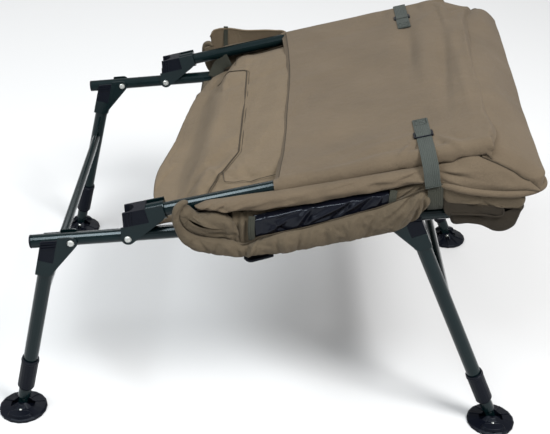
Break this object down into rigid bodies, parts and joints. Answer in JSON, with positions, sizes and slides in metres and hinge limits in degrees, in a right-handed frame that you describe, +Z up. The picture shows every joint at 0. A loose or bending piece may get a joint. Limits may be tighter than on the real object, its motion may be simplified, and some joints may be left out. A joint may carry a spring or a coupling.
{
  "type": "carp fishing chair",
  "caption": "Low folding fishing chair, closed for storage: padded backrest with a hood pocket laid over the padded seat, on telescopic legs with round mud feet.",
  "frame": {"origin": "on the ground, midway between the four feet", "axes": "+X to the front of the chair, where the sitter's knees are; +Y to its left; +Z up"},
  "size_m": [0.915, 0.7034, 0.5727],
  "materials": {
    "frame": "satin green-black paint",
    "moulding": "fine textured black",
    "rivet": "bright zinc plate",
    "cloth": "brushed polyester weave",
    "webbing": "ribbed nylon webbing",
    "coated": "glossy coated cloth"
  },
  "bodies": {
    "seat_frame": {"seat_rail_right": "frame", "seat_rail_left": "frame", "rail_end_cap_right": "moulding", "rail_end_cap_left": "moulding", "seat_front_tube": "frame", "recline_rivet_right": "rivet", "recline_rivet_left": "rivet", "rear_leg_rivet_right": "rivet", "rear_leg_rivet_left": "rivet", "front_leg_rivet_right": "rivet", "front_leg_rivet_left": "rivet", "seat_sling": "cloth", "seat_pad": "cloth", "seat_front_sleeve": "cloth", "rail_strap_right": "webbing", "rail_strap_left": "webbing", "rain_strip_right": "coated", "rain_strip_left": "coated"},
    "backrest": {"back_side_tube_right": "frame", "back_side_tube_left": "frame", "recline_bracket_right": "frame", "recline_bracket_left": "frame", "recline_saddle_right": "moulding", "recline_saddle_left": "moulding", "hood_strap_right": "webbing", "hood_strap_left": "webbing", "back_top_tube": "frame", "back_pad": "cloth", "hood_pocket": "cloth"},
    "rear_leg_frame": {"rear_leg_bracket_right": "frame", "rear_leg_bracket_left": "frame", "rear_leg_saddle_right": "moulding", "rear_leg_saddle_left": "moulding", "rear_outer_leg_right": "frame", "rear_outer_leg_left": "frame", "rear_cross_bar": "frame"},
    "front_leg_frame": {"front_leg_bracket_right": "frame", "front_leg_bracket_left": "frame", "front_leg_saddle_right": "moulding", "front_leg_saddle_left": "moulding", "front_outer_leg_right": "frame", "front_outer_leg_left": "frame", "front_cross_bar": "frame"},
    "rear_collar_right": {"rear_twist_collar_right": "moulding"},
    "rear_lower_leg_right": {"rear_inner_leg_right": "frame"},
    "rear_mud_foot_right": {"rear_foot_right": "moulding", "rear_foot_pin_right": "rivet"},
    "rear_collar_left": {"rear_twist_collar_left": "moulding"},
    "rear_lower_leg_left": {"rear_inner_leg_left": "frame"},
    "rear_mud_foot_left": {"rear_foot_left": "moulding", "rear_foot_pin_left": "rivet"},
    "front_collar_right": {"front_twist_collar_right": "moulding"},
    "front_lower_leg_right": {"front_inner_leg_right": "frame"},
    "front_mud_foot_right": {"front_foot_right": "moulding", "front_foot_pin_right": "rivet"},
    "front_collar_left": {"front_twist_collar_left": "moulding"},
    "front_lower_leg_left": {"front_inner_leg_left": "frame"},
    "front_mud_foot_left": {"front_foot_left": "moulding", "front_foot_pin_left": "rivet"}
  },
  "joints": [
    {"name": "backrest_recline", "type": "hinge", "parent": "seat_frame", "child": "backrest", "pos_m": [-0.21259, 0, 0.37191], "axis": [0, -1, 0], "range_deg": [0, 95]},
    {"name": "rear_legs_fold", "type": "hinge", "parent": "seat_frame", "child": "rear_leg_frame", "pos_m": [-0.30444, 0, 0.36094], "axis": [0, -1, 0], "range_deg": [0, 100]},
    {"name": "front_legs_fold", "type": "hinge", "parent": "seat_frame", "child": "front_leg_frame", "pos_m": [0.19899, 0, 0.42106], "axis": [0, 1, 0], "range_deg": [0, 66]},
    {"name": "rear_collar_twist_right", "type": "hinge", "parent": "rear_leg_frame", "child": "rear_collar_right", "pos_m": [-0.33869, -0.305, 0.35685], "axis": [0.2202, 0, 0.9755], "range_deg": [0, 90]},
    {"name": "rear_leg_slide_right", "type": "slide", "parent": "rear_leg_frame", "child": "rear_lower_leg_right", "axis": [0.2202, 0, 0.9755], "range_m": [-0.1, 0]},
    {"name": "rear_foot_tilt_right", "type": "hinge", "parent": "rear_lower_leg_right", "child": "rear_mud_foot_right", "pos_m": [-0.4163, -0.305, 0.013], "axis": [0, 1, 0], "range_deg": [-15, 15]},
    {"name": "rear_collar_twist_left", "type": "hinge", "parent": "rear_leg_frame", "child": "rear_collar_left", "pos_m": [-0.33869, 0.305, 0.35685], "axis": [0.2202, 0, 0.9755], "range_deg": [0, 90]},
    {"name": "rear_leg_slide_left", "type": "slide", "parent": "rear_leg_frame", "child": "rear_lower_leg_left", "axis": [0.2202, 0, 0.9755], "range_m": [-0.1, 0]},
    {"name": "rear_foot_tilt_left", "type": "hinge", "parent": "rear_lower_leg_left", "child": "rear_mud_foot_left", "pos_m": [-0.4163, 0.305, 0.013], "axis": [0, 1, 0], "range_deg": [-15, 15]},
    {"name": "front_collar_twist_right", "type": "hinge", "parent": "front_leg_frame", "child": "front_collar_right", "pos_m": [0.23324, -0.305, 0.42515], "axis": [-0.4059, 0, 0.9139], "range_deg": [0, 90]},
    {"name": "front_leg_slide_right", "type": "slide", "parent": "front_leg_frame", "child": "front_lower_leg_right", "axis": [-0.4059, 0, 0.9139], "range_m": [-0.1, 0]},
    {"name": "front_foot_tilt_right", "type": "hinge", "parent": "front_lower_leg_right", "child": "front_mud_foot_right", "pos_m": [0.4163, -0.305, 0.013], "axis": [0, 1, 0], "range_deg": [-15, 15]},
    {"name": "front_collar_twist_left", "type": "hinge", "parent": "front_leg_frame", "child": "front_collar_left", "pos_m": [0.23324, 0.305, 0.42515], "axis": [-0.4059, 0, 0.9139], "range_deg": [0, 90]},
    {"name": "front_leg_slide_left", "type": "slide", "parent": "front_leg_frame", "child": "front_lower_leg_left", "axis": [-0.4059, 0, 0.9139], "range_m": [-0.1, 0]},
    {"name": "front_foot_tilt_left", "type": "hinge", "parent": "front_lower_leg_left", "child": "front_mud_foot_left", "pos_m": [0.4163, 0.305, 0.013], "axis": [0, 1, 0], "range_deg": [-15, 15]}
  ]
}
